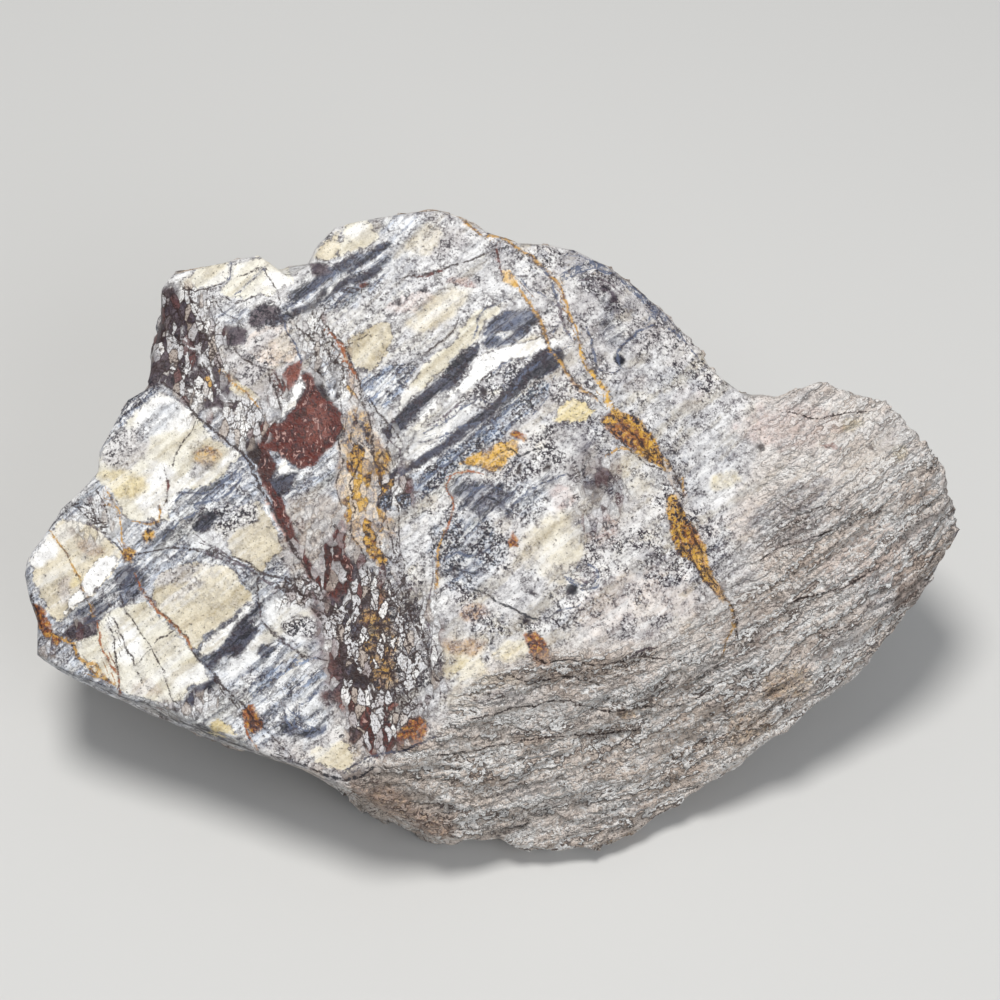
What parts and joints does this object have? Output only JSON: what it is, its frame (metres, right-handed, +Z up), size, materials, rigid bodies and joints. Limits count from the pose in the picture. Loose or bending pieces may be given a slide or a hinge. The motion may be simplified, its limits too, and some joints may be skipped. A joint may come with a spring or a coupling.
{
  "type": "porcelain jasper stone",
  "caption": "Block of porcelain jasper with one sawn, banded face and a rough front, back and side lobe; rests on a small flat spot.",
  "frame": {"origin": "middle of the stone seen from above, on the surface that it rests on", "axes": "+X to the right along the stone's longest side, +Y to the back, away from the sawn face, +Z up"},
  "size_m": [0.1884, 0.126, 0.0917],
  "materials": {
    "jasper": "sawn and polished face with cream, blue-grey and dark red bands and veins; rough grey-beige fracture elsewhere"
  },
  "bodies": {
    "root": {"stone": "jasper"}
  },
  "joints": []
}
